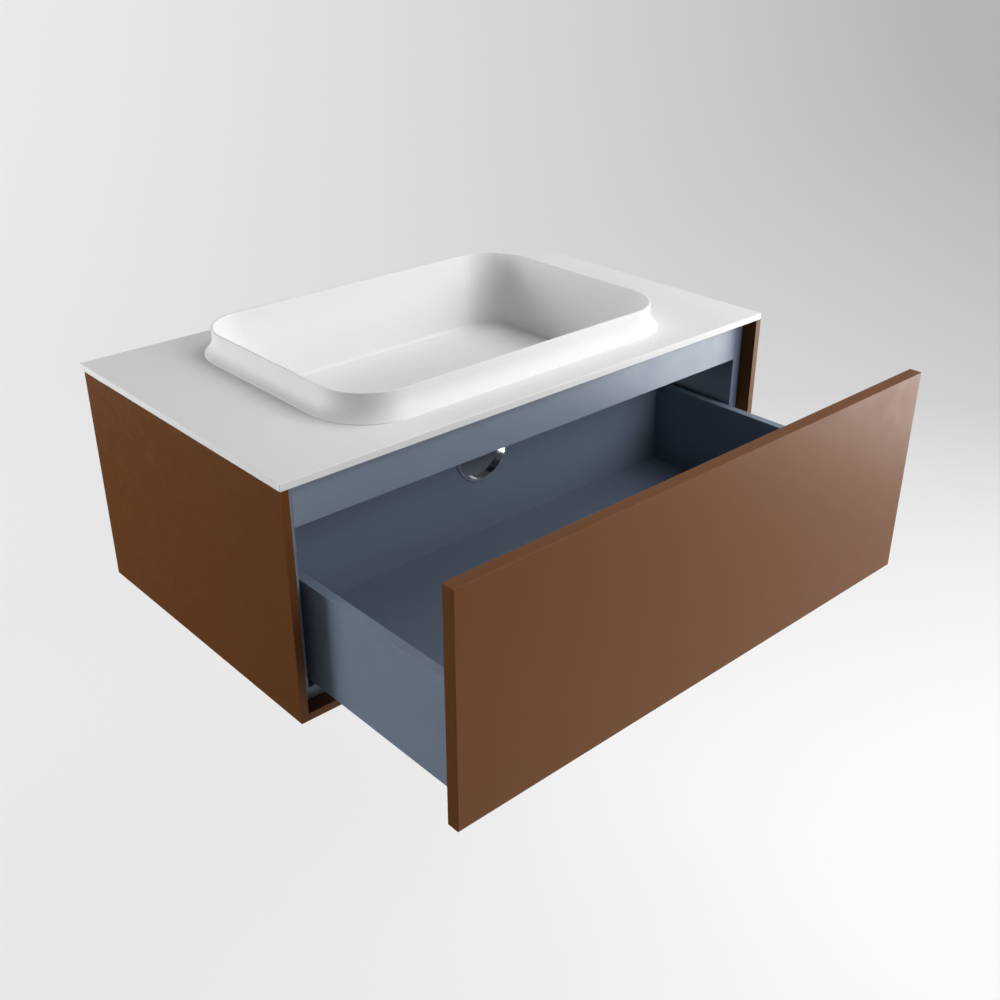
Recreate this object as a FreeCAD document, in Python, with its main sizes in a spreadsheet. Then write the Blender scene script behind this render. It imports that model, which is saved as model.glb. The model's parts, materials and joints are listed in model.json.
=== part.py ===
"""Wall-hung vanity unit with one push-to-open drawer, a worktop and a basin.

Frame: X to the right, Y towards the wall, Z up, in millimetres.  The origin is
the centre of the wall plates' hole pattern, on the wall.  The front faces -Y.
The drawer is modelled pulled out by drawer_open.
"""
import FreeCAD, Part
import math
import os
import re
import Sketcher

SIZES = {
    # worktop and the hanging pattern
    "worktop_width": 800, "worktop_depth": 460, "worktop_thick": 9, "edge_ease": 0.8,
    "hang_drop": 65, "unit_height": 304,
    # basin: its margins on the worktop, its bowl and its foot
    "basin_side_margin": 135, "basin_front_margin": 53, "basin_back_margin": 47,
    "basin_corner": 69, "rim_height": 34.4, "rim_thick": 3, "rim_ease": 0.8,
    "bowl_depth": 108.4, "bowl_taper": 7, "bowl_floor_thick": 8, "bowl_floor_round": 5,
    "flare_out": 11, "flare_tall": 22, "flare_root": 1, "foot_edge": 1.2,
    "under_inset": 2, "under_taper": 6,
    "boss_edge": 6, "boss_drop": 6, "drain_shift": 5,
    # waste fitting
    "tube_round": 20.955, "tube_wall": 3.455, "tail_length": 41, "relief_depth": 1.455, "relief_tall": 2,
    "drain_play": 1.545, "recess_depth": 4, "recess_play": 2,
    "flange_wide": 11.545, "flange_thick": 2.5, "mouth_ease": 2, "top_seal_thick": 1,
    "under_seal_thick": 3, "under_seal_edge": 2,
    "nut_wide": 11.045, "nut_thick": 10, "nut_play": 0.1, "seal_play": 0.3,
    "hub_round": 7, "hub_tall": 8, "hub_drop": 24, "spoke_thick": 2.4, "spoke_root": 1,
    "stem_round": 4, "stem_play": 0.08, "stem_tail": 4, "cap_step": 2.5, "cap_thick": 3, "cap_ease": 1,
    "plug_gap": 0.3, "plug_seal_thick": 1, "plug_seal_lap": 6.5, "plug_seal_play": 0.05,
    # outer shell and carcass
    "shell_thick": 10, "shell_wall_gap": 10, "board_thick": 16, "board_ease": 0.4, "service_gap": 20,
    "front_rail_tall": 60, "rear_rail_tall": 100, "rear_foot_tall": 60,
    # drawer
    "drawer_open": 262, "front_thick": 16, "front_setback": 3, "front_rest_gap": 3,
    "front_top_gap": 1.5, "front_base_gap": 0.8, "front_side_gap": 2,
    "drawer_board": 12, "drawer_side_gap": 5,
    "drawer_headroom": 50, "drawer_floor_gap": 7, "back_lift": 4, "latch_gap": 6,
    "panel_thick": 6, "panel_recess": 4, "groove_depth": 5.5, "panel_tongue": 5,
    "notch_play": 9.5, "notch_lift": 5, "trim_wall": 1.5, "trim_flange": 4.2,
    "trim_flange_thick": 1.2, "trim_play": 0.1,
    "bumper_round": 4, "bumper_play": 0.3, "bumper_inset": 20,
    # runners
    "runner_wide": 30, "runner_metal": 1.2, "runner_play": 0.5, "runner_top_play": 0.8,
    "runner_flange": 35, "runner_front_gap": 14, "runner_rear_gap": 2,
    "runner_screw_rise": 23, "runner_screw_inset": 20,
    # push latches
    "latch_side": 250, "latch_rise": 39, "latch_barrel": 5, "latch_flange": 8,
    "latch_flange_thick": 2, "latch_length": 26, "latch_play": 0.05, "plunger_round": 3.1,
    "plunger_play": 0.1, "plunger_travel": 2.2, "plunger_head": 5, "plunger_head_thick": 1.2,
    "plunger_length": 24, "plunger_end_play": 1, "plunger_tip_gap": 0.3,
    # hangers and wall plates
    "plate_thick": 2.5, "plate_wide": 48, "plate_inset": 3.5, "plate_drop": 27,
    "plate_rise": 25, "plate_lip": 16, "lip_gap": 4, "plate_hole": 4, "plate_hole_rise": 16,
    "plate_hole_inset": 38,
    "hanger_wide": 24.5, "hanger_deep": 10, "hanger_drop": 25, "hanger_rise": 39,
    "hanger_wall": 1.1, "hanger_slot_drop": 5,
    "hook_wide": 14, "hook_thick": 2.5, "hook_side_play": 0.5, "hook_play": 0.4, "hook_drop": 36,
    "hook_lip_play": 0.7, "hook_tip_play": 1, "adjuster_rise": 14, "adjuster_pitch": 16,
    # fasteners: shank and head radii, head heights, and the play round a shank
    "confirmat_round": 3.5, "confirmat_head": 5, "confirmat_head_tall": 3, "confirmat_length": 40,
    "screw_round": 2, "screw_head": 4, "screw_head_tall": 2, "screw_bite": 6, "hole_play": 0.1,
    "hole_end_play": 0.5, "screw_inset": 40,
    "runner_screw_round": 1.8, "runner_screw_head": 3.4, "runner_screw_tall": 1.5,
    "runner_screw_length": 13, "web_screw_round": 1.5, "web_screw_head": 3, "web_screw_tall": 1,
    "web_screw_bite": 4, "front_screw_bite": 10, "front_screw_drop": 32, "front_screw_rise": 22,
    "hanger_screw_bite": 12, "hanger_screw_drop": 6, "hanger_screw_pitch": 9,
    "adjuster_round": 2.5, "adjuster_head": 4.2, "adjuster_head_tall": 3, "adjuster_head_play": 1,
    "adjuster_length": 8.5,
    "dowel_round": 4, "dowel_bite": 8, "dowel_tongue": 18, "dowel_drop": 30, "dowel_rise": 20,
}

doc = FreeCAD.newDocument("wall_hung_vanity")
sheet = doc.addObject("Spreadsheet::Sheet", "dims")
for line, (alias, size) in enumerate(SIZES.items(), start=1):
    sheet.set(f"A{line}", alias)
    sheet.set(f"B{line}", str(size))
    sheet.setAlias(f"B{line}", alias)
doc.recompute()

# Radii of what fits round the waste's tube.
TUBE_BORE = "(tube_round - tube_wall)"
FLANGE_ROUND = "(tube_round + flange_wide)"
NUT_ROUND = "(tube_round + nut_wide)"
UNDER_SEAL_ROUND = f"({NUT_ROUND} + under_seal_edge)"
CAP_ROUND = f"({FLANGE_ROUND} - cap_step)"
NOTCH_ROUND = f"({NUT_ROUND} + notch_play)"

# Levels above the origin.
TOP = "hang_drop"
UNDER = "(hang_drop - worktop_thick)"
BASE = "(hang_drop - unit_height)"
SHELL_FLOOR = f"({BASE} + shell_thick)"
FLOOR = f"({SHELL_FLOOR} + board_thick)"
RIM = "(hang_drop + rim_height)"
BOWL_FLOOR = f"({RIM} - bowl_depth)"
BOWL_UNDER = f"({BOWL_FLOOR} - bowl_floor_thick)"
BOSS_UNDER = f"({BOWL_UNDER} - boss_drop)"
RECESS = f"({BOWL_FLOOR} - recess_depth)"
SEAT = f"({RECESS} + top_seal_thick)"
FLANGE_TOP = f"({SEAT} + flange_thick)"
NUT_TOP = f"({BOSS_UNDER} - under_seal_thick)"
NUT_UNDER = f"({NUT_TOP} - nut_thick)"
RELIEF_BASE = f"({NUT_UNDER} - relief_tall)"
TAIL_END = f"({NUT_UNDER} - tail_length)"
DRAWER_TOP = f"({BOSS_UNDER} - drawer_headroom)"
DRAWER_BASE = f"({FLOOR} + drawer_floor_gap)"
PANEL_UNDER = f"({DRAWER_BASE} + panel_recess)"
PANEL_TOP = f"({PANEL_UNDER} + panel_thick)"
BACK_TOP = f"({DRAWER_TOP} + back_lift)"
NOTCH_LEVEL = f"({TAIL_END} + notch_lift)"
RUNNER_BASE = f"({FLOOR} + runner_metal)"
RUNNER_TOP = f"({PANEL_UNDER} - runner_metal - runner_top_play)"

# Distances from the middle plane.
SHELL_OUT = "(worktop_width / 2)"
SHELL_IN = f"({SHELL_OUT} - shell_thick)"
CARCASS_IN = f"({SHELL_IN} - board_thick)"
DRAWER_OUT = f"({CARCASS_IN} - drawer_side_gap)"
DRAWER_IN = f"({DRAWER_OUT} - drawer_board)"
FRONT_HALF = f"({SHELL_IN} - front_side_gap)"
RUNNER_OUT = f"({DRAWER_IN} - runner_play)"
RUNNER_IN = f"({RUNNER_OUT} - runner_wide)"

# Distances from the wall.
CLOSED_FRONT = "(front_setback + front_thick - worktop_depth)"
CARCASS_FRONT = f"({CLOSED_FRONT} + front_rest_gap)"
RAIL_BACK = "(0 - service_gap)"
RAIL_FRONT = "(0 - service_gap - board_thick)"
CLOSED_REAR = f"({RAIL_FRONT} - latch_gap)"
BOX_FRONT = f"({CLOSED_FRONT} - drawer_open)"
BOX_REAR = f"({CLOSED_REAR} - drawer_open)"
INNER_FACE = f"({BOX_FRONT} + drawer_board)"
BACK_FACE = f"({BOX_REAR} - drawer_board)"
RUNNER_FRONT = f"({CLOSED_FRONT} + runner_front_gap)"
RUNNER_REAR = f"({CLOSED_REAR} - runner_rear_gap)"

# Basin outline on the worktop.
BASIN_WIDE = "(worktop_width - 2 * basin_side_margin)"
BASIN_DEEP = "(worktop_depth - basin_front_margin - basin_back_margin)"
BASIN_MID = f"(0 - basin_back_margin - {BASIN_DEEP} / 2)"
DRAIN_MID = f"({BASIN_MID} - drain_shift)"

FLAT, FRONT, SIDE = "XY_Plane", "XZ_Plane", "YZ_Plane"
SIDES = (("left", "-1"), ("right", "1"))


def bound(text):
    """Point each size that an expression names at its cell in the sheet."""
    return re.sub(r"[a-z]\w*", lambda found: "dims." + found.group(), text)


def value(text):
    return float(sheet.evalExpression(bound(text)))


# ---------------------------------------------------------------- outlines
def pin(sketch, index, point, across, up):
    """Hold one point of a sketch at two expressions."""
    for kind, text in (("DistanceX", across), ("DistanceY", up)):
        row = sketch.addConstraint(Sketcher.Constraint(kind, -1, 1, index, point, value(text)))
        sketch.setExpression(f"Constraints[{row}]", bound(text))


def polygon(*corners):
    """A closed outline of straight runs."""
    def draw(sketch):
        first = sketch.GeometryCount
        spots = [FreeCAD.Vector(value(across), value(up), 0) for across, up in corners]
        for here, there in zip(spots, spots[1:] + spots[:1]):
            sketch.addGeometry(Part.LineSegment(here, there), False)
        for step, (across, up) in enumerate(corners):
            pin(sketch, first + step, 1, across, up)
            following = first + (step + 1) % len(corners)
            sketch.addConstraint(Sketcher.Constraint("Coincident", first + step, 2, following, 1))
    return draw


def rectangle(left, right, low, high):
    return polygon((left, low), (right, low), (right, high), (left, high))


def circles(radius, *centres):
    """Equal circles about the given centres."""
    def draw(sketch):
        for across, up in centres:
            centre = FreeCAD.Vector(value(across), value(up), 0)
            index = sketch.addGeometry(Part.Circle(centre, FreeCAD.Vector(0, 0, 1), value(radius)), False)
            pin(sketch, index, 3, across, up)
            row = sketch.addConstraint(Sketcher.Constraint("Radius", index, value(radius)))
            sketch.setExpression(f"Constraints[{row}]", bound(radius))
    return draw


def hexagon(radius, across, up):
    """A regular hexagon whose corners lie on a circle."""
    half, rise = f"({radius} / 2)", f"({radius} * {math.sqrt(3) / 2})"
    return polygon((f"{across} + {radius}", up), (f"{across} + {half}", f"{up} + {rise}"),
                   (f"{across} - {half}", f"{up} + {rise}"), (f"{across} - {radius}", up),
                   (f"{across} - {half}", f"{up} - {rise}"), (f"{across} + {half}", f"{up} - {rise}"))


def rounded(wide, deep, corner, up):
    """A rectangle with round corners, centred on the middle plane."""
    side, run = f"({wide} / 2)", f"({wide} / 2 - {corner})"
    low, high = f"({up} - {deep} / 2)", f"({up} + {deep} / 2)"
    low_run, high_run = f"({low} + {corner})", f"({high} - {corner})"
    runs = (((f"0 - {run}", low), (run, low)), ((side, low_run), (side, high_run)),
            ((run, high), (f"0 - {run}", high)), ((f"0 - {side}", high_run), (f"0 - {side}", low_run)))
    centres = ((run, low_run), (run, high_run), (f"0 - {run}", high_run), (f"0 - {run}", low_run))

    def draw(sketch):
        quarter = math.pi / 2
        lines, arcs = [], []
        for turn, (ends, centre) in enumerate(zip(runs, centres)):
            start, end = (FreeCAD.Vector(value(across), value(rise), 0) for across, rise in ends)
            lines.append(sketch.addGeometry(Part.LineSegment(start, end), False))
            middle = FreeCAD.Vector(value(centre[0]), value(centre[1]), 0)
            whole = Part.Circle(middle, FreeCAD.Vector(0, 0, 1), value(corner))
            arc = Part.ArcOfCircle(whole, (turn - 1) * quarter, turn * quarter)
            arcs.append(sketch.addGeometry(arc, False))
        for line, ends in zip(lines, runs):
            pin(sketch, line, 1, *ends[0])
            pin(sketch, line, 2, *ends[1])
        for turn, (line, arc) in enumerate(zip(lines, arcs)):
            sketch.addConstraint(Sketcher.Constraint("Tangent", line, 2, arc, 1))
            sketch.addConstraint(Sketcher.Constraint("Coincident", arc, 2, lines[(turn + 1) % 4], 1))
    return draw


# ---------------------------------------------------------------- features
def new_body(label):
    body = doc.addObject("PartDesign::Body", label)
    body.Label = label
    return body


def sketch_on(body, plane, level, outline):
    """An outline on one of the body's own planes, moved to a level along its axis."""
    sketch = body.newObject("Sketcher::SketchObject", "outline")
    base = next(face for face in body.Origin.OriginFeatures if face.Role == plane)
    sketch.AttachmentSupport = [(base, "")]
    sketch.MapMode = "FlatFace"
    along = f"0 - ({level})" if plane == FRONT else level
    sketch.setExpression("AttachmentOffset.Base.z", bound(along))
    outline(sketch)
    return sketch


def extrude(kind, body, plane, outline, low, high, taper):
    """Pads start at the low end of the plane's normal and pockets at its high end."""
    starts_high = (kind == "Pocket") != (plane == FRONT)
    sketch = sketch_on(body, plane, high if starts_high else low, outline)
    feature = body.newObject("PartDesign::" + kind, kind.lower())
    feature.Profile = sketch
    feature.setExpression("Length", bound(f"({high}) - ({low})"))
    if taper:
        feature.setExpression("TaperAngle", bound(taper))
    return feature


def solid(body, plane, outline, low, high):
    return extrude("Pad", body, plane, outline, low, high, None)


def cut(body, plane, outline, low, high, taper=None):
    doc.recompute()
    before = body.Shape.Volume
    feature = extrude("Pocket", body, plane, outline, low, high, taper)
    doc.recompute()
    if body.Shape.Volume >= before:
        raise RuntimeError(f"a pocket in {body.Label} removes nothing")
    return feature


def turned(label, up, *corners):
    """A ring or rod about an upright axis in the middle plane, from (radius, level) corners."""
    body = new_body(label)
    sketch = sketch_on(body, FRONT, up, polygon(*corners))
    feature = body.newObject("PartDesign::Revolution", "turn")
    feature.Profile = sketch
    feature.ReferenceAxis = (sketch, ["V_Axis"])
    feature.Angle = 360
    return body


def fillet(body, radius, chosen):
    """Round the edges of the body that the test chooses."""
    doc.recompute()
    base = body.Tip
    names = [f"Edge{number}" for number, edge in enumerate(base.Shape.Edges, start=1) if chosen(edge)]
    feature = body.newObject("PartDesign::Fillet", "fillet")
    feature.Base = (base, names)
    feature.setExpression("Radius", bound(radius))
    return feature


def board(label, plane, outline, low, high):
    body = new_body(label)
    solid(body, plane, outline, low, high)
    return body


def ease_front(body, front):
    """Take the sharpness off a board's upright and level edges in its front face."""
    face = value(front)

    def square(edge):
        box = edge.BoundBox
        return abs(box.YMax - face) < 0.01 and min(box.XLength, box.ZLength) < 0.01
    fillet(body, "board_ease", square)


def level_edges(level):
    """Edges that lie flat at one level."""
    height = value(level)
    return lambda edge: max(abs(edge.BoundBox.ZMin - height), abs(edge.BoundBox.ZMax - height)) < 0.01


def mirrored(side, *corners):
    """Corners given for the right side, put on either side."""
    return polygon(*((f"{side} * ({across})", up) for across, up in corners))


def span(side, near, far):
    """The low and high ends along X of what lies between two distances from the middle."""
    return (near, far) if side == "1" else (f"(0 - ({far}))", f"(0 - ({near}))")


def fasteners(label, plane, groups):
    """Identical fasteners: each group has centres and (radius, low, high) sections."""
    body = new_body(label)
    for centres, sections in groups:
        for radius, low, high in sections:
            solid(body, plane, circles(radius, *centres), low, high)
    return body


# ---------------------------------------------------------------- worktop and basin
def make_worktop():
    half = "(worktop_width / 2)"
    body = board("worktop", FLAT, rectangle(f"0 - {half}", half, "0 - worktop_depth", "0"), UNDER, TOP)
    opening = rounded(BASIN_WIDE, BASIN_DEEP, "basin_corner", BASIN_MID)
    cut(body, FLAT, opening, UNDER, TOP)
    outline = (value(half), -value("worktop_depth"))

    def outer(edge):
        box = edge.BoundBox
        on_side = abs(abs(box.XMin) - outline[0]) < 0.01 and box.XLength < 0.01
        on_front = abs(box.YMax - outline[1]) < 0.01
        return on_side or on_front
    fillet(body, "edge_ease", outer)


def make_basin():
    body = new_body("basin")
    rim = rounded(BASIN_WIDE, BASIN_DEEP, "basin_corner", BASIN_MID)
    solid(body, FLAT, rim, TOP, RIM)
    path = sketch_on(body, FLAT, TOP, rim)
    wall = f"({BASIN_MID} - {BASIN_DEEP} / 2)"

    def flare(sketch):
        """A concave foot: upright where it leaves the wall, spread where it meets the worktop."""
        face, inner, outer = value(wall), value(f"{wall} + flare_root"), value(f"{wall} - flare_out")
        high, low = value(f"{TOP} + flare_tall"), value(f"{TOP} + foot_edge")
        across, tall = face - outer, high - low
        sweep = (across ** 2 + tall ** 2) / (2 * across)
        middle = FreeCAD.Vector(face - sweep, high, 0)
        reach = Part.Circle(middle, FreeCAD.Vector(0, 0, 1), sweep)
        foot_angle = reach.parameter(FreeCAD.Vector(outer, low, 0))
        arc = sketch.addGeometry(Part.ArcOfCircle(reach, foot_angle, 2 * math.pi), False)
        spots = ((outer, low), (outer, value(TOP)), (inner, value(TOP)), (inner, high), (face, high))
        points = [FreeCAD.Vector(*spot, 0) for spot in spots]
        lines = [sketch.addGeometry(Part.LineSegment(here, there), False)
                 for here, there in zip(points, points[1:])]
        held = ((f"{wall} - flare_out", f"{TOP} + foot_edge"), (f"{wall} - flare_out", TOP),
                (f"{wall} + flare_root", TOP), (f"{wall} + flare_root", f"{TOP} + flare_tall"))
        for line, spot in zip(lines, held):
            pin(sketch, line, 1, *spot)
        pin(sketch, lines[-1], 2, wall, f"{TOP} + flare_tall")
        for line, following in zip(lines, lines[1:]):
            sketch.addConstraint(Sketcher.Constraint("Coincident", line, 2, following, 1))
        sketch.addConstraint(Sketcher.Constraint("Coincident", arc, 1, lines[0], 1))
        sketch.addConstraint(Sketcher.Constraint("Perpendicular", arc, 2, lines[-1], 2))

    foot = sketch_on(body, SIDE, "0", flare)
    pipe = body.newObject("PartDesign::AdditivePipe", "flare")
    pipe.Profile = foot
    pipe.Spine = (path, [])
    doc.recompute()
    under = rounded(f"({BASIN_WIDE} - 2 * under_inset)", f"({BASIN_DEEP} - 2 * under_inset)",
                    "(basin_corner - under_inset)", BASIN_MID)
    shape = sketch_on(body, FLAT, TOP, under)
    bowl = body.newObject("PartDesign::Pad", "bowl")
    bowl.Profile = shape
    bowl.Reversed = True
    bowl.setExpression("Length", bound(f"{TOP} - {BOWL_UNDER}"))
    bowl.setExpression("TaperAngle", bound("0 - under_taper"))
    doc.recompute()
    boss = circles(f"({UNDER_SEAL_ROUND} + boss_edge)", ("0", DRAIN_MID))
    solid(body, FLAT, boss, BOSS_UNDER, BOWL_UNDER)
    inside = rounded(f"({BASIN_WIDE} - 2 * rim_thick)", f"({BASIN_DEEP} - 2 * rim_thick)",
                     "(basin_corner - rim_thick)", BASIN_MID)
    cut(body, FLAT, inside, BOWL_FLOOR, RIM, "0 - bowl_taper")
    fillet(body, "bowl_floor_round", level_edges(BOWL_FLOOR))
    fillet(body, "rim_ease", level_edges(RIM))
    cut(body, FLAT, circles(f"({FLANGE_ROUND} + recess_play)", ("0", DRAIN_MID)), RECESS, BOWL_FLOOR)
    cut(body, FLAT, circles("(tube_round + drain_play)", ("0", DRAIN_MID)), BOSS_UNDER, RECESS)


def make_waste():
    relief = "(tube_round - relief_depth)"
    body = turned("waste_body", DRAIN_MID,
                  (TUBE_BORE, TAIL_END), ("tube_round", TAIL_END), ("tube_round", RELIEF_BASE),
                  (relief, RELIEF_BASE), (relief, NUT_UNDER), ("tube_round", NUT_UNDER),
                  ("tube_round", SEAT), (FLANGE_ROUND, SEAT), (FLANGE_ROUND, FLANGE_TOP),
                  (f"({TUBE_BORE} + mouth_ease)", FLANGE_TOP), (TUBE_BORE, f"{FLANGE_TOP} - mouth_ease"))
    hub_top = f"({FLANGE_TOP} - hub_drop)"
    hub_under = f"({hub_top} - hub_tall)"
    reach = f"({TUBE_BORE} + spoke_root)"
    spokes = (f"0 - {reach}", reach, f"{DRAIN_MID} - spoke_thick / 2", f"{DRAIN_MID} + spoke_thick / 2")
    cross = ("0 - spoke_thick / 2", "spoke_thick / 2", f"{DRAIN_MID} - {reach}", f"{DRAIN_MID} + {reach}")
    solid(body, FLAT, rectangle(*spokes), hub_under, hub_top)
    solid(body, FLAT, rectangle(*cross), hub_under, hub_top)
    solid(body, FLAT, circles("hub_round", ("0", DRAIN_MID)), hub_under, hub_top)
    bore = "(stem_round + stem_play)"
    cut(body, FLAT, circles(bore, ("0", DRAIN_MID)), hub_under, hub_top)

    seal_under = f"({FLANGE_TOP} + plug_gap)"
    cap_under = f"({seal_under} + plug_seal_thick)"
    stem_end = f"({hub_under} - stem_tail)"
    turned("waste_plug", DRAIN_MID,
           ("0", stem_end), ("stem_round", stem_end), ("stem_round", cap_under),
           (CAP_ROUND, cap_under), (CAP_ROUND, f"{cap_under} + cap_thick - cap_ease"),
           (f"({CAP_ROUND} - cap_ease)", f"{cap_under} + cap_thick"), ("0", f"{cap_under} + cap_thick"))
    seal_edge = f"({TUBE_BORE} + plug_seal_lap)"
    turned("plug_seal", DRAIN_MID,
           ("(stem_round + plug_seal_play)", seal_under), (seal_edge, seal_under),
           (seal_edge, cap_under), ("(stem_round + plug_seal_play)", cap_under))
    seal_bore = "(tube_round + seal_play)"
    turned("waste_top_seal", DRAIN_MID,
           (seal_bore, RECESS), (FLANGE_ROUND, RECESS), (FLANGE_ROUND, SEAT), (seal_bore, SEAT))
    turned("waste_under_seal", DRAIN_MID,
           (seal_bore, NUT_TOP), (UNDER_SEAL_ROUND, NUT_TOP),
           (UNDER_SEAL_ROUND, BOSS_UNDER), (seal_bore, BOSS_UNDER))
    nut = board("waste_lock_nut", FLAT, hexagon(NUT_ROUND, "0", DRAIN_MID), NUT_UNDER, NUT_TOP)
    cut(nut, FLAT, circles("(tube_round + nut_play)", ("0", DRAIN_MID)), NUT_UNDER, NUT_TOP)


# ---------------------------------------------------------------- shell and carcass
CONFIRMAT_END = f"({SHELL_IN} - confirmat_length)"
BOTTOM_MID = f"({SHELL_FLOOR} + board_thick / 2)"
REAR_MID = "(0 - service_gap - board_thick / 2)"
FRONT_RAIL_MID = f"({CARCASS_FRONT} + board_thick / 2)"
CONFIRMATS = (
    (f"{CARCASS_FRONT} + screw_inset", BOTTOM_MID), (f"{CARCASS_FRONT} / 2", BOTTOM_MID),
    (f"{RAIL_FRONT} - screw_inset", BOTTOM_MID), (FRONT_RAIL_MID, f"{UNDER} - front_rail_tall / 2"),
    (REAR_MID, f"{UNDER} - rear_rail_tall / 4"), (REAR_MID, f"{UNDER} - rear_rail_tall * 3 / 4"),
    (REAR_MID, f"{FLOOR} + rear_foot_tall / 2"),
)
SHELL_SCREWS = tuple((across, up) for across in (f"{CARCASS_FRONT} / 6 * 5", f"{CARCASS_FRONT} / 5")
                     for up in (f"{UNDER} - screw_inset", f"{UNDER} - 5 * screw_inset"))
BASE_SCREWS = tuple((across, up) for across in (f"0 - {CARCASS_IN} / 4 * 3", "0", f"{CARCASS_IN} / 4 * 3")
                    for up in (f"{CARCASS_FRONT} / 6 * 5", f"{CARCASS_FRONT} / 5"))
RUNNER_SPOTS = (f"({RUNNER_FRONT} + runner_screw_inset)", f"(({RUNNER_FRONT} + {RUNNER_REAR}) / 2)",
                f"({RUNNER_REAR} - runner_screw_inset)")
RUNNER_SCREWS = tuple((along, f"{FLOOR} + runner_screw_rise") for along in RUNNER_SPOTS)
HANGER_SCREWS = tuple(("0 - service_gap + hanger_deep / 2", f"0 - hanger_slot_drop - {drop}")
                      for drop in ("hanger_screw_drop", "hanger_screw_drop - hanger_screw_pitch"))


def make_shell():
    front, back = "0 - worktop_depth", "0 - shell_wall_gap"
    bottom = polygon((f"0 - {SHELL_OUT}", BASE), (SHELL_OUT, BASE),
                     (SHELL_IN, SHELL_FLOOR), (f"0 - {SHELL_IN}", SHELL_FLOOR))
    body = board("shell_bottom", FRONT, bottom, front, back)
    ease_front(body, front)
    hole = "(screw_round + hole_play)"
    cut(body, FLAT, circles(hole, *BASE_SCREWS), f"{SHELL_FLOOR} - screw_bite - hole_end_play", SHELL_FLOOR)
    for name, side in SIDES:
        outline = mirrored(side, (SHELL_IN, SHELL_FLOOR), (SHELL_OUT, BASE),
                           (SHELL_OUT, UNDER), (SHELL_IN, UNDER))
        body = board("shell_" + name, FRONT, outline, front, back)
        ease_front(body, front)
        cut(body, SIDE, circles(hole, *SHELL_SCREWS),
            *span(side, SHELL_IN, f"({SHELL_IN} + screw_bite + hole_end_play)"))


def make_carcass():
    for name, side in SIDES:
        outline = rectangle(CARCASS_FRONT, "0", SHELL_FLOOR, UNDER)
        body = board("carcass_" + name, SIDE, outline, *span(side, CARCASS_IN, SHELL_IN))
        ease_front(body, CARCASS_FRONT)
        through = span(side, CARCASS_IN, SHELL_IN)
        cut(body, SIDE, circles("(confirmat_round + hole_play)", *CONFIRMATS), *through)
        cut(body, SIDE, circles("(confirmat_head + hole_play)", *CONFIRMATS),
            *span(side, f"({SHELL_IN} - confirmat_head_tall)", SHELL_IN))
        cut(body, SIDE, circles("(screw_round + hole_play)", *SHELL_SCREWS), *through)
        cut(body, SIDE, circles("(screw_head + hole_play)", *SHELL_SCREWS),
            *span(side, CARCASS_IN, f"({CARCASS_IN} + screw_head_tall)"))
        cut(body, SIDE, circles("(runner_screw_round + hole_play)", *RUNNER_SCREWS),
            *span(side, CARCASS_IN, f"({CARCASS_IN} - runner_metal + runner_screw_length + hole_end_play)"))
        cut(body, SIDE, circles("(screw_round + hole_play)", *HANGER_SCREWS),
            *span(side, CARCASS_IN, f"({CARCASS_IN} + hanger_screw_bite + hole_end_play)"))

    wide = (f"0 - {CARCASS_IN}", CARCASS_IN)
    end = f"({CONFIRMAT_END} - hole_end_play)"
    hole = "(confirmat_round + hole_play)"

    def drill(body, spots):
        for name, side in SIDES:
            cut(body, SIDE, circles(hole, *spots), *span(side, end, CARCASS_IN))

    body = board("carcass_bottom", FLAT, rectangle(*wide, CARCASS_FRONT, RAIL_BACK), SHELL_FLOOR, FLOOR)
    ease_front(body, CARCASS_FRONT)
    drill(body, CONFIRMATS[:3])
    cut(body, FLAT, circles("(screw_round + hole_play)", *BASE_SCREWS), SHELL_FLOOR, FLOOR)
    cut(body, FLAT, circles("(screw_head + hole_play)", *BASE_SCREWS), f"{FLOOR} - screw_head_tall", FLOOR)

    front_rail = rectangle(*wide, f"{UNDER} - front_rail_tall", UNDER)
    body = board("front_rail", FRONT, front_rail, CARCASS_FRONT, f"({CARCASS_FRONT} + board_thick)")
    ease_front(body, CARCASS_FRONT)
    drill(body, CONFIRMATS[3:4])

    top_rail = rectangle(*wide, f"{UNDER} - rear_rail_tall", UNDER)
    body = board("rear_top_rail", FRONT, top_rail, RAIL_FRONT, RAIL_BACK)
    drill(body, CONFIRMATS[4:6])
    for name, side in SIDES:
        cut(body, FRONT, circles("(adjuster_head + adjuster_head_play)", *adjuster_spots(side)),
            RAIL_FRONT, RAIL_BACK)

    foot_rail = rectangle(*wide, FLOOR, f"{FLOOR} + rear_foot_tall")
    body = board("rear_bottom_rail", FRONT, foot_rail, RAIL_FRONT, RAIL_BACK)
    drill(body, CONFIRMATS[6:])
    cut(body, FRONT, circles("(latch_barrel + latch_play)", *latch_spots()), RAIL_FRONT, RAIL_BACK)


def make_carcass_screws():
    head = f"({SHELL_IN} - confirmat_head_tall)"
    fasteners("carcass_screws", SIDE,
              [(CONFIRMATS, (("confirmat_round", *span(side, CONFIRMAT_END, head)),
                             ("confirmat_head", *span(side, head, SHELL_IN)))) for name, side in SIDES])
    seat = f"({CARCASS_IN} + screw_head_tall)"
    tip = f"({SHELL_IN} + screw_bite)"
    fasteners("shell_side_screws", SIDE,
              [(SHELL_SCREWS, (("screw_head", *span(side, CARCASS_IN, seat)),
                               ("screw_round", *span(side, seat, tip)))) for name, side in SIDES])
    seat = f"({FLOOR} - screw_head_tall)"
    fasteners("shell_base_screws", FLAT,
              [(BASE_SCREWS, (("screw_head", seat, FLOOR),
                              ("screw_round", f"({SHELL_FLOOR} - screw_bite)", seat)))])


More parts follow.
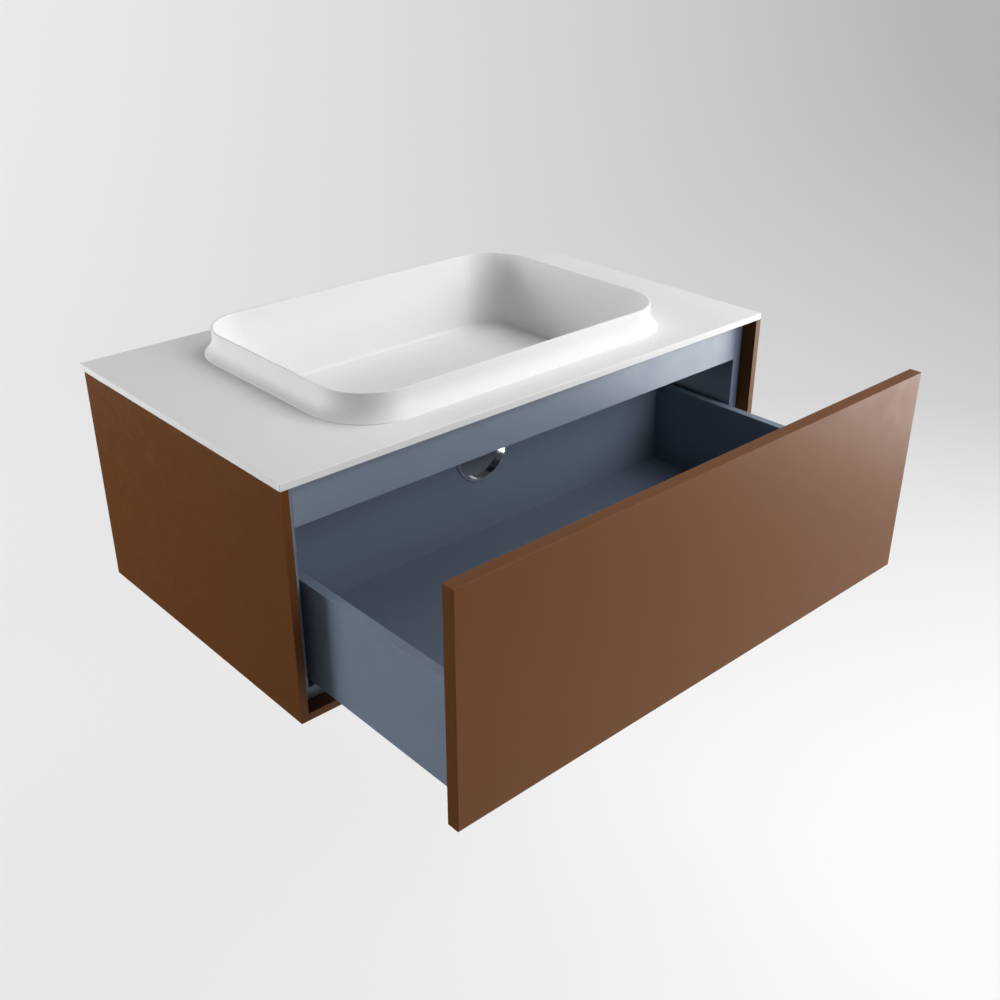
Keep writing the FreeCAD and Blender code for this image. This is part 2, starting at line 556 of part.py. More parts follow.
# ---------------------------------------------------------------- drawer
DOWELS = tuple((up, rise) for up in (f"{BOX_FRONT} + drawer_board / 2", f"{BOX_REAR} - drawer_board / 2")
               for rise in (f"{DRAWER_TOP} - dowel_drop", f"{PANEL_TOP} + dowel_rise"))
FRONT_SCREWS = tuple((f"{side} * {DRAWER_IN} / 5 * 4", rise) for name, side in SIDES
                     for rise in (f"{DRAWER_TOP} - front_screw_drop", f"{PANEL_TOP} + front_screw_rise"))
BUMPERS = tuple((f"{side} * ({SHELL_IN} + {CARCASS_IN}) / 2", rise) for name, side in SIDES
                for rise in (f"{UNDER} - bumper_inset", f"{SHELL_FLOOR} + bumper_inset"))


def make_drawer_box():
    low, high = f"({SHELL_FLOOR} + front_base_gap)", f"({UNDER} - front_top_gap)"
    outline = rectangle(f"0 - {FRONT_HALF}", FRONT_HALF, low, high)
    body = board("drawer_front", FRONT, outline, f"({BOX_FRONT} - front_thick)", BOX_FRONT)
    face = value(f"{BOX_FRONT} - front_thick")
    fillet(body, "edge_ease", lambda edge: abs(edge.BoundBox.YMax - face) < 0.01)
    cut(body, FRONT, circles("(screw_round + hole_play)", *FRONT_SCREWS),
        f"({BOX_FRONT} - front_screw_bite - hole_end_play)", BOX_FRONT)

    for name, side in SIDES:
        outline = rectangle(BOX_FRONT, BOX_REAR, DRAWER_BASE, DRAWER_TOP)
        body = board("drawer_" + name, SIDE, outline, *span(side, DRAWER_IN, DRAWER_OUT))
        cut(body, SIDE, rectangle(BOX_FRONT, BOX_REAR, PANEL_UNDER, PANEL_TOP),
            *span(side, DRAWER_IN, f"({DRAWER_IN} + groove_depth)"))
        cut(body, SIDE, circles("(dowel_round + hole_play)", *DOWELS),
            *span(side, DRAWER_IN, f"({DRAWER_IN} + dowel_bite + hole_end_play)"))

    wide = (f"0 - {DRAWER_IN}", DRAWER_IN)
    end = f"({DRAWER_IN} - dowel_tongue - hole_end_play)"
    body = board("drawer_inner_front", FRONT, rectangle(*wide, DRAWER_BASE, DRAWER_TOP),
                 BOX_FRONT, INNER_FACE)
    cut(body, FRONT, rectangle(*wide, PANEL_UNDER, PANEL_TOP), f"({INNER_FACE} - groove_depth)", INNER_FACE)
    cut(body, FRONT, circles("(screw_round + hole_play)", *FRONT_SCREWS), BOX_FRONT, INNER_FACE)
    for name, side in SIDES:
        cut(body, SIDE, circles("(dowel_round + hole_play)", *DOWELS[:2]), *span(side, end, DRAWER_IN))

    body = board("drawer_back", FRONT, rectangle(*wide, PANEL_TOP, BACK_TOP), BACK_FACE, BOX_REAR)
    notch = f"({NOTCH_ROUND} + trim_wall + trim_play)"
    cut(body, FRONT, circles(notch, ("0", NOTCH_LEVEL)), BACK_FACE, BOX_REAR)
    cut(body, FRONT, rectangle(f"0 - {notch}", notch, NOTCH_LEVEL, BACK_TOP), BACK_FACE, BOX_REAR)
    for name, side in SIDES:
        cut(body, SIDE, circles("(dowel_round + hole_play)", *DOWELS[2:]), *span(side, end, DRAWER_IN))

    tongue = f"({DRAWER_IN} + panel_tongue)"
    outline = rectangle(f"0 - {tongue}", tongue, f"{INNER_FACE} - panel_tongue", BOX_REAR)
    body = board("drawer_bottom", FLAT, outline, PANEL_UNDER, PANEL_TOP)
    cut(body, FLAT, circles("(web_screw_round + hole_play)", *web_spots()),
        PANEL_UNDER, f"({PANEL_UNDER} + web_screw_bite + hole_end_play)")


def make_notch_trim():
    flange_face = f"({BACK_FACE} - trim_flange_thick)"
    flange = circles(f"({NOTCH_ROUND} + trim_flange)", ("0", NOTCH_LEVEL))
    body = board("notch_trim", FRONT, flange, flange_face, BACK_FACE)
    solid(body, FRONT, circles(f"({NOTCH_ROUND} + trim_wall)", ("0", NOTCH_LEVEL)), BACK_FACE, BOX_REAR)
    cut(body, FRONT, circles(NOTCH_ROUND, ("0", NOTCH_LEVEL)), flange_face, BOX_REAR)
    reach = f"({NOTCH_ROUND} + 2 * trim_flange)"
    cut(body, FRONT, rectangle(f"0 - {reach}", reach, BACK_TOP, f"{BACK_TOP} + 2 * {reach}"),
        flange_face, BOX_REAR)


def make_drawer_fasteners():
    fasteners("drawer_dowels", SIDE,
              [(DOWELS, (("dowel_round", *span(side, f"({DRAWER_IN} - dowel_tongue)",
                                               f"({DRAWER_IN} + dowel_bite)")),)) for name, side in SIDES])
    fasteners("front_screws", FRONT,
              [(FRONT_SCREWS, (("screw_round", f"({BOX_FRONT} - front_screw_bite)", INNER_FACE),
                               ("screw_head", INNER_FACE, f"({INNER_FACE} + screw_head_tall)")))])
    fasteners("front_bumpers", FRONT,
              [(BUMPERS, (("bumper_round", BOX_FRONT, f"({BOX_FRONT} + front_rest_gap - bumper_play)"),))])


# ---------------------------------------------------------------- runners
def web_spots():
    """Where the drawer members are screwed to the drawer's bottom."""
    middle = f"({RUNNER_OUT} - runner_wide / 2)"
    return tuple((f"{side} * {middle}", f"{along} - drawer_open") for name, side in SIDES
                 for along in RUNNER_SPOTS)


def make_runners():
    out, inn = RUNNER_OUT, RUNNER_IN
    metal = "runner_metal"
    middle_out, middle_in = f"({out} - {metal} - runner_play)", f"({inn} + {metal} + runner_play)"
    middle_base = f"({RUNNER_BASE} + runner_play)"
    drawer_out = f"({middle_out} - {metal} - runner_play)"
    drawer_in = f"({middle_in} + {metal} + runner_play)"
    hem = f"({middle_base} + {metal} + runner_play)"
    for name, side in SIDES:
        flange_top = f"({FLOOR} + runner_flange)"
        fixed = mirrored(
            side, (inn, FLOOR), (CARCASS_IN, FLOOR), (CARCASS_IN, flange_top),
            (f"({CARCASS_IN} - {metal})", flange_top), (f"({CARCASS_IN} - {metal})", RUNNER_BASE),
            (out, RUNNER_BASE), (out, RUNNER_TOP), (f"({out} - {metal})", RUNNER_TOP),
            (f"({out} - {metal})", RUNNER_BASE), (f"({inn} + {metal})", RUNNER_BASE),
            (f"({inn} + {metal})", RUNNER_TOP), (inn, RUNNER_TOP))
        body = board("runner_cabinet_" + name, FRONT, fixed, RUNNER_FRONT, RUNNER_REAR)
        cut(body, SIDE, circles("(runner_screw_round + hole_play)", *RUNNER_SCREWS),
            *span(side, f"({CARCASS_IN} - {metal})", CARCASS_IN))
        sliding = mirrored(
            side, (middle_in, middle_base), (middle_out, middle_base), (middle_out, RUNNER_TOP),
            (f"({middle_out} - {metal})", RUNNER_TOP),
            (f"({middle_out} - {metal})", f"{middle_base} + {metal}"),
            (f"({middle_in} + {metal})", f"{middle_base} + {metal}"),
            (f"({middle_in} + {metal})", RUNNER_TOP), (middle_in, RUNNER_TOP))
        board("runner_middle_" + name, FRONT, sliding,
              f"({RUNNER_FRONT} - drawer_open / 2)", f"({RUNNER_REAR} - drawer_open / 2)")
        carried = mirrored(
            side, (drawer_in, PANEL_UNDER), (drawer_in, hem), (f"({drawer_in} + {metal})", hem),
            (f"({drawer_in} + {metal})", f"{PANEL_UNDER} - {metal}"),
            (f"({drawer_out} - {metal})", f"{PANEL_UNDER} - {metal}"),
            (f"({drawer_out} - {metal})", hem), (drawer_out, hem), (drawer_out, PANEL_UNDER))
        body = board("runner_drawer_" + name, FRONT, carried,
                     f"({RUNNER_FRONT} - drawer_open)", f"({RUNNER_REAR} - drawer_open)")
        spots = web_spots()[:3] if side == "-1" else web_spots()[3:]
        cut(body, FLAT, circles("(web_screw_round + hole_play)", *spots),
            f"({PANEL_UNDER} - {metal})", PANEL_UNDER)

    face = f"({CARCASS_IN} - runner_metal)"
    fasteners("runner_side_screws", SIDE,
              [(RUNNER_SCREWS, (("runner_screw_head", *span(side, f"({face} - runner_screw_tall)", face)),
                                ("runner_screw_round", *span(side, face, f"({face} + runner_screw_length)"))))
               for name, side in SIDES])
    web = f"({PANEL_UNDER} - runner_metal)"
    fasteners("runner_web_screws", FLAT,
              [(web_spots(), (("web_screw_head", f"({web} - web_screw_tall)", web),
                              ("web_screw_round", web, f"({PANEL_UNDER} + web_screw_bite)")))])


# ---------------------------------------------------------------- push latches
def latch_spots():
    return tuple((f"{side} * latch_side", f"{FLOOR} + latch_rise") for name, side in SIDES)


def make_latches():
    face = f"({RAIL_FRONT} - latch_flange_thick)"
    back = f"({RAIL_FRONT} + latch_length)"
    tip = f"({CLOSED_REAR} + plunger_tip_gap)"
    for (name, side), spot in zip(SIDES, latch_spots()):
        body = board("push_latch_" + name, FRONT, circles("latch_barrel", spot), RAIL_FRONT, back)
        solid(body, FRONT, circles("latch_flange", spot), face, RAIL_FRONT)
        cut(body, FRONT, circles("(plunger_round + plunger_play)", spot), face,
            f"({tip} + plunger_length + plunger_travel + plunger_end_play)")
        body = board("latch_plunger_" + name, FRONT, circles("plunger_head", spot),
                     tip, f"({tip} + plunger_head_thick)")
        solid(body, FRONT, circles("plunger_round", spot), f"({tip} + plunger_head_thick)",
              f"({tip} + plunger_length)")


# ---------------------------------------------------------------- hangers
def adjuster_spots(side):
    middle = f"({CARCASS_IN} - hanger_wide / 2)"
    return tuple((f"{side} * {middle}", rise)
                 for rise in ("adjuster_rise", "adjuster_rise + adjuster_pitch"))


def make_hangers():
    front = "(0 - service_gap)"
    back = f"({front} + hanger_deep)"
    hook_in = f"({CARCASS_IN} - hanger_wide / 2 - hook_wide / 2)"
    hook_out = f"({CARCASS_IN} - hanger_wide / 2 + hook_wide / 2)"
    slot_in, slot_out = f"({hook_in} - hook_side_play)", f"({hook_out} + hook_side_play)"
    leg = f"({front} + hanger_wall + hook_play)"
    lip_front = "(0 - plate_thick * 2 - lip_gap)"
    lip_top = "(plate_rise + plate_lip)"
    bridge = f"({lip_top} + hook_thick)"
    tongue = f"({lip_front} + plate_thick + hook_lip_play)"
    tongue_low = "(plate_rise + hook_tip_play)"
    hook = polygon((leg, f"{lip_top} - hook_drop"), (f"{leg} + hook_thick", f"{lip_top} - hook_drop"),
                   (f"{leg} + hook_thick", lip_top), (tongue, lip_top), (tongue, tongue_low),
                   (f"{tongue} + hook_thick", tongue_low), (f"{tongue} + hook_thick", bridge), (leg, bridge))
    plate = polygon(("0", "0 - plate_drop"), ("0", "plate_rise"),
                    (f"{lip_front} + plate_thick", "plate_rise"), (f"{lip_front} + plate_thick", lip_top),
                    (lip_front, lip_top), (lip_front, "plate_rise - plate_thick"),
                    ("0 - plate_thick", "plate_rise - plate_thick"), ("0 - plate_thick", "0 - plate_drop"))
    for name, side in SIDES:
        housing = rectangle(front, back, "0 - hanger_drop", "hanger_rise")
        body = board("hanger_" + name, SIDE, housing,
                     *span(side, f"({CARCASS_IN} - hanger_wide)", CARCASS_IN))
        slot = rectangle(f"{front} + hanger_wall", back, "0 - hanger_slot_drop", "hanger_rise")
        cut(body, SIDE, slot, *span(side, slot_in, slot_out))
        cut(body, FRONT, circles("(adjuster_round + hole_play)", *adjuster_spots(side)),
            front, f"({front} + hanger_wall)")
        cut(body, SIDE, circles("(screw_round + hole_play)", *HANGER_SCREWS),
            *span(side, f"({CARCASS_IN} - hanger_wide)", CARCASS_IN))
        body = board("hanger_hook_" + name, SIDE, hook, *span(side, hook_in, hook_out))
        cut(body, FRONT, circles("(adjuster_round + hole_play)", *adjuster_spots(side)),
            leg, f"({leg} + hook_thick)")
        plate_out = f"({CARCASS_IN} - plate_inset)"
        body = board("wall_plate_" + name, SIDE, plate, *span(side, f"({plate_out} - plate_wide)", plate_out))
        hole_mid = f"{side} * ({CARCASS_IN} - plate_hole_inset)"
        holes = circles("plate_hole", (hole_mid, "plate_hole_rise"), (hole_mid, "0 - plate_hole_rise"))
        cut(body, FRONT, holes, "(0 - plate_thick)", "0")

    inner = f"({CARCASS_IN} - hanger_wide)"
    fasteners("hanger_screws", SIDE,
              [(HANGER_SCREWS, (("runner_screw_head", *span(side, f"({inner} - screw_head_tall)", inner)),
                                ("screw_round", *span(side, inner, f"({CARCASS_IN} + hanger_screw_bite)"))))
               for name, side in SIDES])
    head = f"({front} - adjuster_head_tall)"
    tip = f"({front} + adjuster_length)"
    fasteners("hanger_adjusters", FRONT,
              [(adjuster_spots(side), (("adjuster_head", head, front), ("adjuster_round", front, tip)))
               for name, side in SIDES])


make_worktop()
make_basin()
make_waste()
make_shell()
make_carcass()
make_carcass_screws()
make_drawer_box()
make_notch_trim()
make_drawer_fasteners()
make_runners()
make_latches()
make_hangers()
doc.recompute()

for thing in doc.Objects:
    if "Invalid" in thing.State or "Error" in thing.State:
        raise RuntimeError(f"{thing.Name} ({thing.Label}) did not build: {thing.State}")
pieces = [thing for thing in doc.Objects if thing.TypeId == "PartDesign::Body"]
for piece in pieces:
    if piece.Shape.isNull() or not piece.Shape.isValid():
        raise RuntimeError(f"{piece.Label} has no valid shape")
os.makedirs("parts", exist_ok=True)
for piece in pieces:
    piece.Shape.exportStep(f"parts/{piece.Label}.step")
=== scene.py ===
"""Looks for a wall-hung vanity unit with an open drawer, a white worktop and a white basin.

Everything is in metres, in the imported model's frame: the origin is on the wall,
+Y goes into the wall and +Z goes up.  The front faces -Y.  Colours are linear.
"""

import json
import math

import bpy
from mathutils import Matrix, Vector

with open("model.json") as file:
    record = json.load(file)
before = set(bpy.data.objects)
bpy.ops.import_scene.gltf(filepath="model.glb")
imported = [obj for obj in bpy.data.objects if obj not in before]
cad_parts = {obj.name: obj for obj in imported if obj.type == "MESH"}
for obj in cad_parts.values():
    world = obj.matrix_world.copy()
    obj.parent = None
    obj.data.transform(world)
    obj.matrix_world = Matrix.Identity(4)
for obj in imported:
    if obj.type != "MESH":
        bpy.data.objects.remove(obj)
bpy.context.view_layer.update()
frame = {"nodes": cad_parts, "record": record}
nodes = frame["nodes"]


def grey(level):
    return (level, level, level)


# ------------------------------------------------------------------ camera, fitted to the photo
CAMERA_PLACE = (-0.95955, -1.41232, 0.61287)
CAMERA_TURN = math.radians(-42.13)
CAMERA_DIP = math.radians(27.59)
CAMERA_LENS = 43.04                     # mm
SENSOR_WIDTH = 36                       # mm

# ------------------------------------------------------------------ colours
SOLID_WHITE = grey(0.80)
BASIN_WHITE = grey(0.82)
BROWN = (0.136, 0.049, 0.013)
BLUE = (0.176, 0.227, 0.302)
CHROME = (0.60, 0.61, 0.63)
ZINC = (0.55, 0.56, 0.58)
RUBBER = grey(0.02)
PLASTIC = (0.11, 0.115, 0.125)
BEECH_DARK = (0.46, 0.30, 0.17)
BEECH_PALE = (0.62, 0.44, 0.28)

# ------------------------------------------------------------------ grain and wear
DRIFT_SCALE = 7                         # features a metre in the slow drift of colour
GLOSS_SCALE = 45                        # the same, in the drift of gloss
SPECK_SHARE = 0.5                       # how far the grain's specks go towards the paler tone
GRAIN_STRENGTH = 0.5
EDGE_WIDTH = 0.0012                     # how far in from an edge the rubbing reaches
EDGE_SCALE = 90                         # features a metre in what breaks the rubbing up
EDGE_FLAT = 0.995                       # the cosine of the bevel's turn where a face is flat
EDGE_SHARP = 0.80                       # the same, where the rubbing is full
EDGE_LEAST = 0.35                       # how much of it is left between its patches
PATCH_START, PATCH_END = 0.40, 0.60     # the part of the noise that the patches fade over
RUB_PALENESS = 0.4                      # how far a rubbed edge goes towards white
RUB_POLISH = 0.15                       # and how much roughness it loses
BEECH_STRETCH = (1, 14, 14)             # the grain runs along X

# ------------------------------------------------------------------ room
FLOOR_LEVEL = -0.80
FLOOR_FRONT, FLOOR_BACK = -7.0, 2.2
SWEEP_RADIUS = 2.5
SWEEP_TOP = 14.0
SWEEP_STEPS = 24
HALF_WIDTH = 16.0

BACKDROP_WHITE = grey(0.8)
PAINTED_LIGHT_SHARE = 0.8                    # how much of its painted light and shade it shows, over true shading
SIDE_START, SIDE_END = -3.0, 4.5        # X - Y where its painted fall from lit to shaded starts and ends
# painted light and shade: the backdrop's glow, lit at one side and shaded at the other
PAINTED_LIT_SIDE, PAINTED_SHADED_SIDE = grey(0.97), grey(0.56)
NEAR_POINT = (0.6, -0.9, FLOOR_LEVEL)   # the middle of the painted pool of light on the floor
NEAR_START, NEAR_END = 0.3, 2.0         # metres from there where the painted pool of light starts and ends its fade
# painted light: the glow of the pool of light on the floor near the object
PAINTED_LIGHT_POOL = grey(0.98)

CARD_BLACK = grey(0.02)
CARD_LEFT, CARD_RIGHT = -5.0, -0.43
CARD_FRONT, CARD_BACK = -0.9, 4.0
CARD_LEVEL = FLOOR_LEVEL + 0.01
CARD_HIDDEN_FROM = ("camera", "diffuse", "shadow", "transmission", "volume_scatter")

WORLD_LIGHT = grey(0.04)
WORLD_SHOWN = grey(0.50)

# name, place, target, width and height, watts
LAMPS = (
    ("key", (1.0, -2.4, 1.1), (0.0, -0.4, 0.0), (1.6, 1.6), 46),
    ("right", (2.2, -1.8, 0.6), (0.1, -0.5, -0.05), (1.4, 1.4), 10),
    ("low", (1.9, -1.5, -0.45), (0.1, -0.5, -0.1), (1.2, 0.6), 17),
    ("left", (-2.2, 1.4, 0.5), (-0.2, -0.4, -0.05), (1.4, 1.4), 54),
    ("top", (1.2, -0.6, 1.9), (0.1, -0.3, 0.0), (1.5, 1.5), 27),
)


class Finish:
    """A material under construction: its nodes, and short ways to add the usual ones."""

    def __init__(self, name, **numbers):
        self.material = bpy.data.materials.new(name)
        self.material.use_nodes = True
        self.tree = self.material.node_tree
        self.shader = self.tree.nodes["Principled BSDF"]
        self.space = self.new("ShaderNodeTexCoord").outputs["Object"]
        for number, value in numbers.items():
            self.shader.inputs[number.replace("_", " ")].default_value = value

    def new(self, kind, **values):
        node = self.tree.nodes.new(kind)
        for name, value in values.items():
            setattr(node, name, value)
        return node

    def link(self, output, target):
        self.tree.links.new(output, target)

    def noise(self, scale, detail, stretch=(1, 1, 1)):
        """Fractal noise with the given number of features a metre."""
        mapping = self.new("ShaderNodeMapping")
        mapping.inputs["Scale"].default_value = stretch
        noise = self.new("ShaderNodeTexNoise")
        noise.inputs["Scale"].default_value = scale
        noise.inputs["Detail"].default_value = detail
        self.link(self.space, mapping.inputs["Vector"])
        self.link(mapping.outputs["Vector"], noise.inputs["Vector"])
        return noise.outputs["Fac"]

    def spread(self, source, low=0, high=1, start=0.35, end=0.65):
        """Stretch part of a value's range, by default the middle of a noise's, over another."""
        ramp = self.new("ShaderNodeMapRange")
        limits = {"From Min": start, "From Max": end, "To Min": low, "To Max": high}
        for name, value in limits.items():
            ramp.inputs[name].default_value = value
        self.link(source, ramp.inputs["Value"])
        return ramp.outputs["Result"]

    def maths(self, operation, first, second):
        """Work on two values, each either a plain number or another node's output."""
        node = self.new("ShaderNodeMath", operation=operation)
        for slot, value in enumerate((first, second)):
            if isinstance(value, (int, float)):
                node.inputs[slot].default_value = value
            else:
                self.link(value, node.inputs[slot])
        return node.outputs["Value"]

    def blend(self, factor, first, second):
        """Mix two colours, each either plain numbers or another node's output."""
        mix = self.new("ShaderNodeMix", data_type="RGBA")
        self.link(factor, mix.inputs["Factor"])
        for name, colour in (("A", first), ("B", second)):
            if isinstance(colour, tuple):
                mix.inputs[name].default_value = (*colour, 1)
            else:
                self.link(colour, mix.inputs[name])
        return mix.outputs["Result"]

    def bump(self, height, strength, depth):
        node = self.new("ShaderNodeBump")
        node.inputs["Strength"].default_value = strength
        node.inputs["Distance"].default_value = depth
        self.link(height, node.inputs["Height"])
        self.link(node.outputs["Normal"], self.shader.inputs["Normal"])

    def edges(self):
        """One on a sharp edge and nought on the flats, broken up by a fine noise."""
        bevel = self.new("ShaderNodeBevel", samples=4)
        bevel.inputs["Radius"].default_value = EDGE_WIDTH
        flat = self.new("ShaderNodeNewGeometry").outputs["Normal"]
        turn = self.new("ShaderNodeVectorMath", operation="DOT_PRODUCT")
        self.link(bevel.outputs["Normal"], turn.inputs[0])
        self.link(flat, turn.inputs[1])
        mask = self.spread(turn.outputs["Value"], low=1, high=0, start=EDGE_SHARP, end=EDGE_FLAT)
        patches = self.spread(self.noise(EDGE_SCALE, detail=4), low=EDGE_LEAST,
                              start=PATCH_START, end=PATCH_END)
        return self.maths("MULTIPLY", mask, patches)

    def surface(self, colour, *, change, roughness, vary, grain, depth, rub=0.0):
        """A coated surface: drifting colour and gloss, fine grain in relief, rubbed edges.

        change: how far the colour drifts, as a share of itself
        vary: how far the roughness drifts
        grain, depth: features a metre in the relief, and how deep it is
        rub: how strongly the edges are rubbed
        """
        drift = self.spread(self.noise(DRIFT_SCALE, detail=3))
        speck = self.spread(self.noise(grain / 2, detail=1))
        low, middle, high = (tuple(min(part * (1 + step), 1) for part in colour)
                             for step in (-change, 0, change))
        tone = self.blend(drift, low, middle)
        tone = self.blend(self.maths("MULTIPLY", speck, SPECK_SHARE), tone, high)
        gloss = self.spread(self.noise(GLOSS_SCALE, detail=4), roughness - vary, roughness + vary)
        if rub:
            worn = self.maths("MULTIPLY", self.edges(), rub)
            pale = tuple((1 - RUB_PALENESS) * part + RUB_PALENESS for part in colour)
            tone = self.blend(worn, tone, pale)
            gloss = self.maths("SUBTRACT", gloss, self.maths("MULTIPLY", worn, RUB_POLISH))
        self.link(tone, self.shader.inputs["Base Color"])
        self.link(gloss, self.shader.inputs["Roughness"])
        self.bump(self.noise(grain, detail=2), GRAIN_STRENGTH, depth)
        return self.material


def solid_surface():
    finish = Finish("solid_surface_white", Specular_IOR_Level=0.2)
    return finish.surface(SOLID_WHITE, change=0.012, roughness=0.50, vary=0.04,
                          grain=1600, depth=0.00004)


def basin_white():
    finish = Finish("basin_white", Specular_IOR_Level=0.1)
    return finish.surface(BASIN_WHITE, change=0.01, roughness=0.44, vary=0.04,
                          grain=1400, depth=0.00003)


def brown_lacquer():
    finish = Finish("brown_lacquer", Specular_IOR_Level=0.15, Specular_Tint=(1.0, 0.75, 0.56, 1))
    return finish.surface(BROWN, change=0.02, roughness=0.36, vary=0.03,
                          grain=1300, depth=0.00005, rub=0.10)


def blue_coat(finish, roughness):
    return finish.surface(BLUE, change=0.02, roughness=roughness, vary=0.04,
                          grain=1300, depth=0.00005, rub=0.10)


def blue_board():
    return blue_coat(Finish("blue_board", Specular_IOR_Level=0.6), roughness=0.44)


def blue_rail():
    """The front rail's board, whose coat shines a little more towards the light."""
    finish = Finish("blue_rail", Specular_IOR_Level=1.0, Coat_Weight=1.0, Coat_Roughness=0.6)
    return blue_coat(finish, roughness=0.50)


def chrome():
    finish = Finish("chrome", Metallic=1.0)
    return finish.surface(CHROME, change=0.02, roughness=0.16, vary=0.04,
                          grain=500, depth=0.00001)


def zinc_steel(name):
    finish = Finish(name, Metallic=1.0)
    return finish.surface(ZINC, change=0.08, roughness=0.36, vary=0.08,
                          grain=900, depth=0.00002, rub=0.25)


def seal_rubber():
    finish = Finish("seal_rubber")
    return finish.surface(RUBBER, change=0.15, roughness=0.75, vary=0.08,
                          grain=1500, depth=0.00004)


def moulded_plastic():
    finish = Finish("moulded_plastic")
    return finish.surface(PLASTIC, change=0.06, roughness=0.45, vary=0.06,
                          grain=1500, depth=0.00003, rub=0.2)


def beech():
    finish = Finish("beech", Roughness=0.6)
    grain = finish.spread(finish.noise(scale=30, detail=6, stretch=BEECH_STRETCH))
    finish.link(finish.blend(grain, BEECH_DARK, BEECH_PALE), finish.shader.inputs["Base Color"])
    relief = finish.noise(scale=60, detail=4, stretch=BEECH_STRETCH)
    finish.bump(relief, strength=0.4, depth=0.0001)
    return finish.material


FINISHES = {
    "white_solid_surface": solid_surface(),
    "white_basin": basin_white(),
    "brown_lacquer": brown_lacquer(),
    "blue_board": blue_board(),
    "chrome": chrome(),
    "runner_steel": zinc_steel("runner_steel"),
    "screw_steel": zinc_steel("screw_steel"),
    "seal_rubber": seal_rubber(),
    "grey_plastic": moulded_plastic(),
    "dowel_wood": beech(),
}

for part in frame["record"]["subparts"]:
    for slot in nodes[part["node"]].material_slots:
        slot.material = FINISHES[part["material_slot"]]
nodes["front_rail"].material_slots[0].material = blue_rail()


def add_object(name, data):
    added = bpy.data.objects.new(name, data)
    bpy.context.scene.collection.objects.link(added)
    return added


def add_mesh(name, corners, faces, material):
    mesh = bpy.data.meshes.new(name)
    mesh.from_pydata(corners, [], faces)
    mesh.materials.append(material)
    return add_object(name, mesh)


def backdrop_painted_light():
    """Keeps a share of true shading under a glow of painted light and shade, seen directly and in
    reflections.
    """
    finish = Finish("backdrop", Base_Color=(*BACKDROP_WHITE, 1), Roughness=0.9,
                    Specular_IOR_Level=0.1)
    place = finish.new("ShaderNodeSeparateXYZ")
    finish.link(finish.space, place.inputs["Vector"])
    across = finish.maths("SUBTRACT", place.outputs["X"], place.outputs["Y"])
    # painted light and shade: the glow falls from lit to shaded across X - Y
    side = finish.spread(across, start=SIDE_START, end=SIDE_END)
    reach = finish.new("ShaderNodeVectorMath", operation="DISTANCE")
    finish.link(finish.space, reach.inputs[0])
    reach.inputs[1].default_value = NEAR_POINT
    # painted light: a pool of light on the floor near the object
    painted_pool = finish.spread(reach.outputs["Value"], low=1, high=0, start=NEAR_START, end=NEAR_END)
    tone = finish.blend(side, PAINTED_LIT_SIDE, PAINTED_SHADED_SIDE)
    glow = finish.new("ShaderNodeEmission")
    finish.link(finish.blend(painted_pool, tone, PAINTED_LIGHT_POOL), glow.inputs["Color"])
    path = finish.new("ShaderNodeLightPath")
    # the camera, reflections and glass see this painted light
    seen = finish.maths("ADD", path.outputs["Is Camera Ray"], path.outputs["Is Glossy Ray"])
    seen = finish.maths("ADD", seen, path.outputs["Is Transmission Ray"])
    seen = finish.maths("MULTIPLY", finish.maths("MINIMUM", seen, 1), PAINTED_LIGHT_SHARE)
    mix = finish.new("ShaderNodeMixShader")
    finish.link(seen, mix.inputs["Fac"])
    finish.link(finish.shader.outputs["BSDF"], mix.inputs[1])
    finish.link(glow.outputs["Emission"], mix.inputs[2])
    finish.link(mix.outputs["Shader"], finish.tree.nodes["Material Output"].inputs["Surface"])
    return finish.material


def backdrop():
    """A floor that curves up into a wall behind the object."""
    profile = [(FLOOR_FRONT, FLOOR_LEVEL)]
    for step in range(SWEEP_STEPS + 1):
        turn = math.pi / 2 * step / SWEEP_STEPS
        profile.append((FLOOR_BACK + SWEEP_RADIUS * math.sin(turn),
                        FLOOR_LEVEL + SWEEP_RADIUS * (1 - math.cos(turn))))
    profile.append((FLOOR_BACK + SWEEP_RADIUS, SWEEP_TOP))
    corners = [(side, *spot) for spot in profile for side in (-HALF_WIDTH, HALF_WIDTH)]
    strips = [(row, row + 1, row + 3, row + 2) for row in range(0, len(corners) - 2, 2)]
    # its material paints light and shade into the backdrop's glow
    sweep = add_mesh("backdrop", corners, strips, backdrop_painted_light())
    sweep.data.shade_smooth()


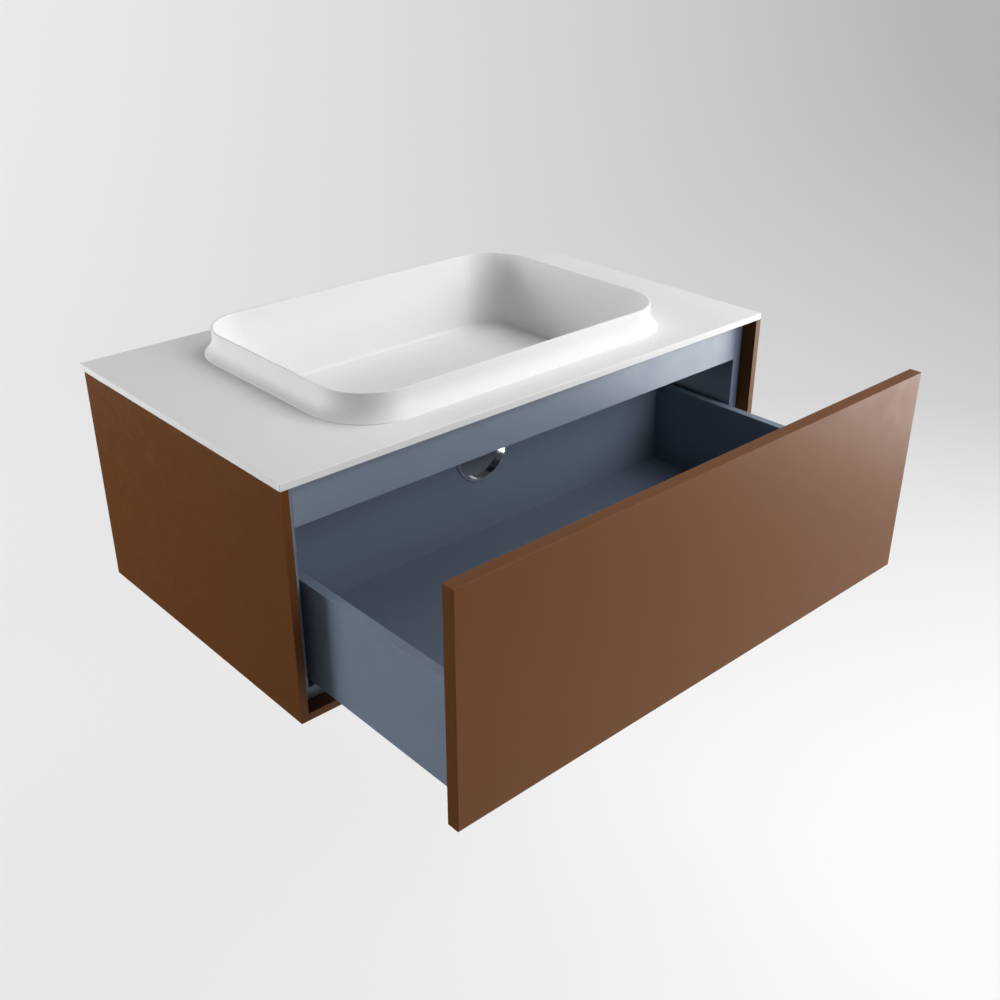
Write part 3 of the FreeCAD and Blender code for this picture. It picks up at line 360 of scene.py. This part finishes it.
def dark_card():
    """A card on the floor to the left that only reflections see: it keeps the sides deep."""
    finish = Finish("dark_card", Base_Color=(*CARD_BLACK, 1), Roughness=0.9,
                    Specular_IOR_Level=0.0)
    corners = [(CARD_LEFT, CARD_FRONT, CARD_LEVEL), (CARD_RIGHT, CARD_FRONT, CARD_LEVEL),
               (CARD_RIGHT, CARD_BACK, CARD_LEVEL), (CARD_LEFT, CARD_BACK, CARD_LEVEL)]
    card = add_mesh("dark_card", corners, [(0, 1, 2, 3)], finish.material)
    for kind in CARD_HIDDEN_FROM:
        setattr(card, "visible_" + kind, False)


def surroundings():
    """A dark grey that lights the object, and a paler one for the camera past the backdrop."""
    world = bpy.data.worlds.new("studio")
    bpy.context.scene.world = world
    world.use_nodes = True
    tree = world.node_tree
    path = tree.nodes.new("ShaderNodeLightPath")
    switch = tree.nodes.new("ShaderNodeMix")
    switch.data_type = "RGBA"
    switch.inputs["A"].default_value = (*WORLD_LIGHT, 1)
    switch.inputs["B"].default_value = (*WORLD_SHOWN, 1)
    tree.links.new(path.outputs["Is Camera Ray"], switch.inputs["Factor"])
    tree.links.new(switch.outputs["Result"], tree.nodes["Background"].inputs["Color"])


def area_light(name, place, target, size, power):
    data = bpy.data.lights.new(name, "AREA")
    data.shape = "RECTANGLE"
    data.size, data.size_y = size
    data.energy = power
    lamp = add_object(name, data)
    lamp.visible_camera = False
    lamp.location = place
    lamp.rotation_euler = (Vector(target) - Vector(place)).to_track_quat("-Z", "Y").to_euler()


def take_aim():
    """The photograph's camera, and the plain view of colours."""
    data = bpy.data.cameras.new("camera")
    data.lens = CAMERA_LENS
    data.sensor_width = SENSOR_WIDTH
    camera = add_object("camera", data)
    camera.location = CAMERA_PLACE
    camera.rotation_euler = (math.pi / 2 - CAMERA_DIP, 0, CAMERA_TURN)
    bpy.context.scene.camera = camera
    bpy.context.scene.view_settings.view_transform = "Standard"


backdrop()
dark_card()
surroundings()
for lamp in LAMPS:
    area_light(*lamp)
take_aim()
